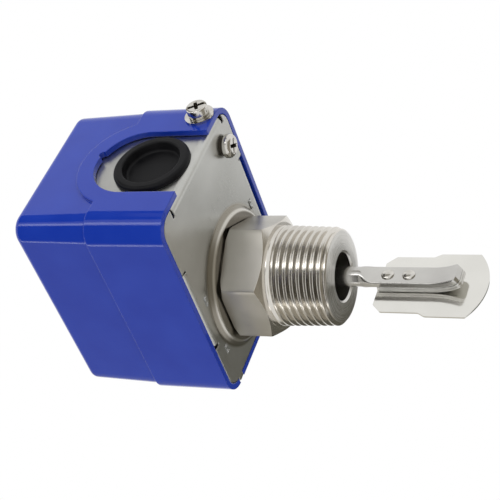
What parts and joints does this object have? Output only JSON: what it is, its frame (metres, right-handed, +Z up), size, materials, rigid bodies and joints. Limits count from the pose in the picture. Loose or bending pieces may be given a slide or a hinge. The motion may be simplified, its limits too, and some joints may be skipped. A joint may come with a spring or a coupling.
{
  "type": "paddle flow switch",
  "caption": "Paddle flow switch: a moulded cover on a sheet-metal plate and a hexagonal threaded fitting, with a paddle on a rod that works a sealed-in microswitch.",
  "frame": {"origin": "on the pipe thread's axis, at the hexagon's lower face, where the thread starts", "axes": "+Z up the thread's axis into the housing, +X towards the cable entry, which is also the way the fluid pushes the paddle, +Y towards the side with the cover screw and the earth screw"},
  "size_m": [0.0823, 0.062, 0.139],
  "materials": {
    "cover_blue": "semi-gloss moulded",
    "plate_steel": "satin sheet",
    "fitting_steel": "turned and milled",
    "grommet_rubber": "matte",
    "screw_nickel": "bright nickel plate",
    "rod_steel": "polished",
    "vane_steel": "bright rolled sheet",
    "brass": "plain",
    "bracket_zinc": "zinc plated",
    "switch_black": "moulded",
    "insulator_card": "pressed card",
    "plunger_red": "moulded"
  },
  "bodies": {
    "housing": {"fitting": "fitting_steel", "neck_nut": "brass", "base_plate": "plate_steel", "cover": "cover_blue", "conduit_grommet": "grommet_rubber", "cover_flat_washer": "screw_nickel", "cover_spring_washer": "screw_nickel", "cover_screw": "screw_nickel", "cover_clinch_nut": "bracket_zinc", "earth_washer": "bracket_zinc", "earth_screw": "screw_nickel", "earth_nut": "bracket_zinc", "bellows_collar": "brass", "bellows": "brass", "lever_bracket": "bracket_zinc", "pivot_pins": "screw_nickel", "setting_spring": "rod_steel", "switch_case": "switch_black", "switch_insulator": "insulator_card", "rear_switch_screw": "screw_nickel", "front_switch_screw": "screw_nickel", "terminal_plates": "brass", "terminal_screws": "screw_nickel"},
    "paddle_lever": {"bellows_cap": "brass", "paddle_rod": "rod_steel", "inner_backing_strip": "vane_steel", "outer_backing_strip": "vane_steel", "paddle_vane": "vane_steel", "paddle_rivets": "rod_steel", "rod_washer": "bracket_zinc", "rod_nut": "bracket_zinc", "main_lever": "bracket_zinc"},
    "switch_plunger": {"switch_plunger": "plunger_red"},
    "setting_screw": {"setting_screw": "bracket_zinc", "setting_screw_clip": "bracket_zinc"},
    "setting_nut": {"setting_nut": "brass"}
  },
  "joints": [
    {"name": "paddle_swing", "type": "hinge", "parent": "housing", "child": "paddle_lever", "pos_m": [0, 0, 0.029], "axis": [0, -1, 0], "range_deg": [0, 4.5], "stiffness_Nm_per_rad": 0.5, "springref_deg": -1.72, "deforming": ["bellows", "setting_spring"]},
    {"name": "plunger_slide", "type": "slide", "parent": "housing", "child": "switch_plunger", "axis": [0, 0, 1], "range_m": [0, 0.0013]},
    {"name": "setting_turn", "type": "hinge", "parent": "housing", "child": "setting_screw", "pos_m": [-0.016, 0, 0.0445], "axis": [0, 0, -1], "range_deg": [0, 1802]},
    {"name": "setting_nut_slide", "type": "slide", "parent": "housing", "child": "setting_nut", "axis": [0, 0, 1], "range_m": [0, 0.0035], "deforming": ["setting_spring"]}
  ],
  "couplings": [
    {"joint": "plunger_slide", "follows": "paddle_swing", "m_per_rad": 0.014},
    {"joint": "setting_turn", "follows": "setting_nut_slide", "rad_per_m": 8976}
  ]
}
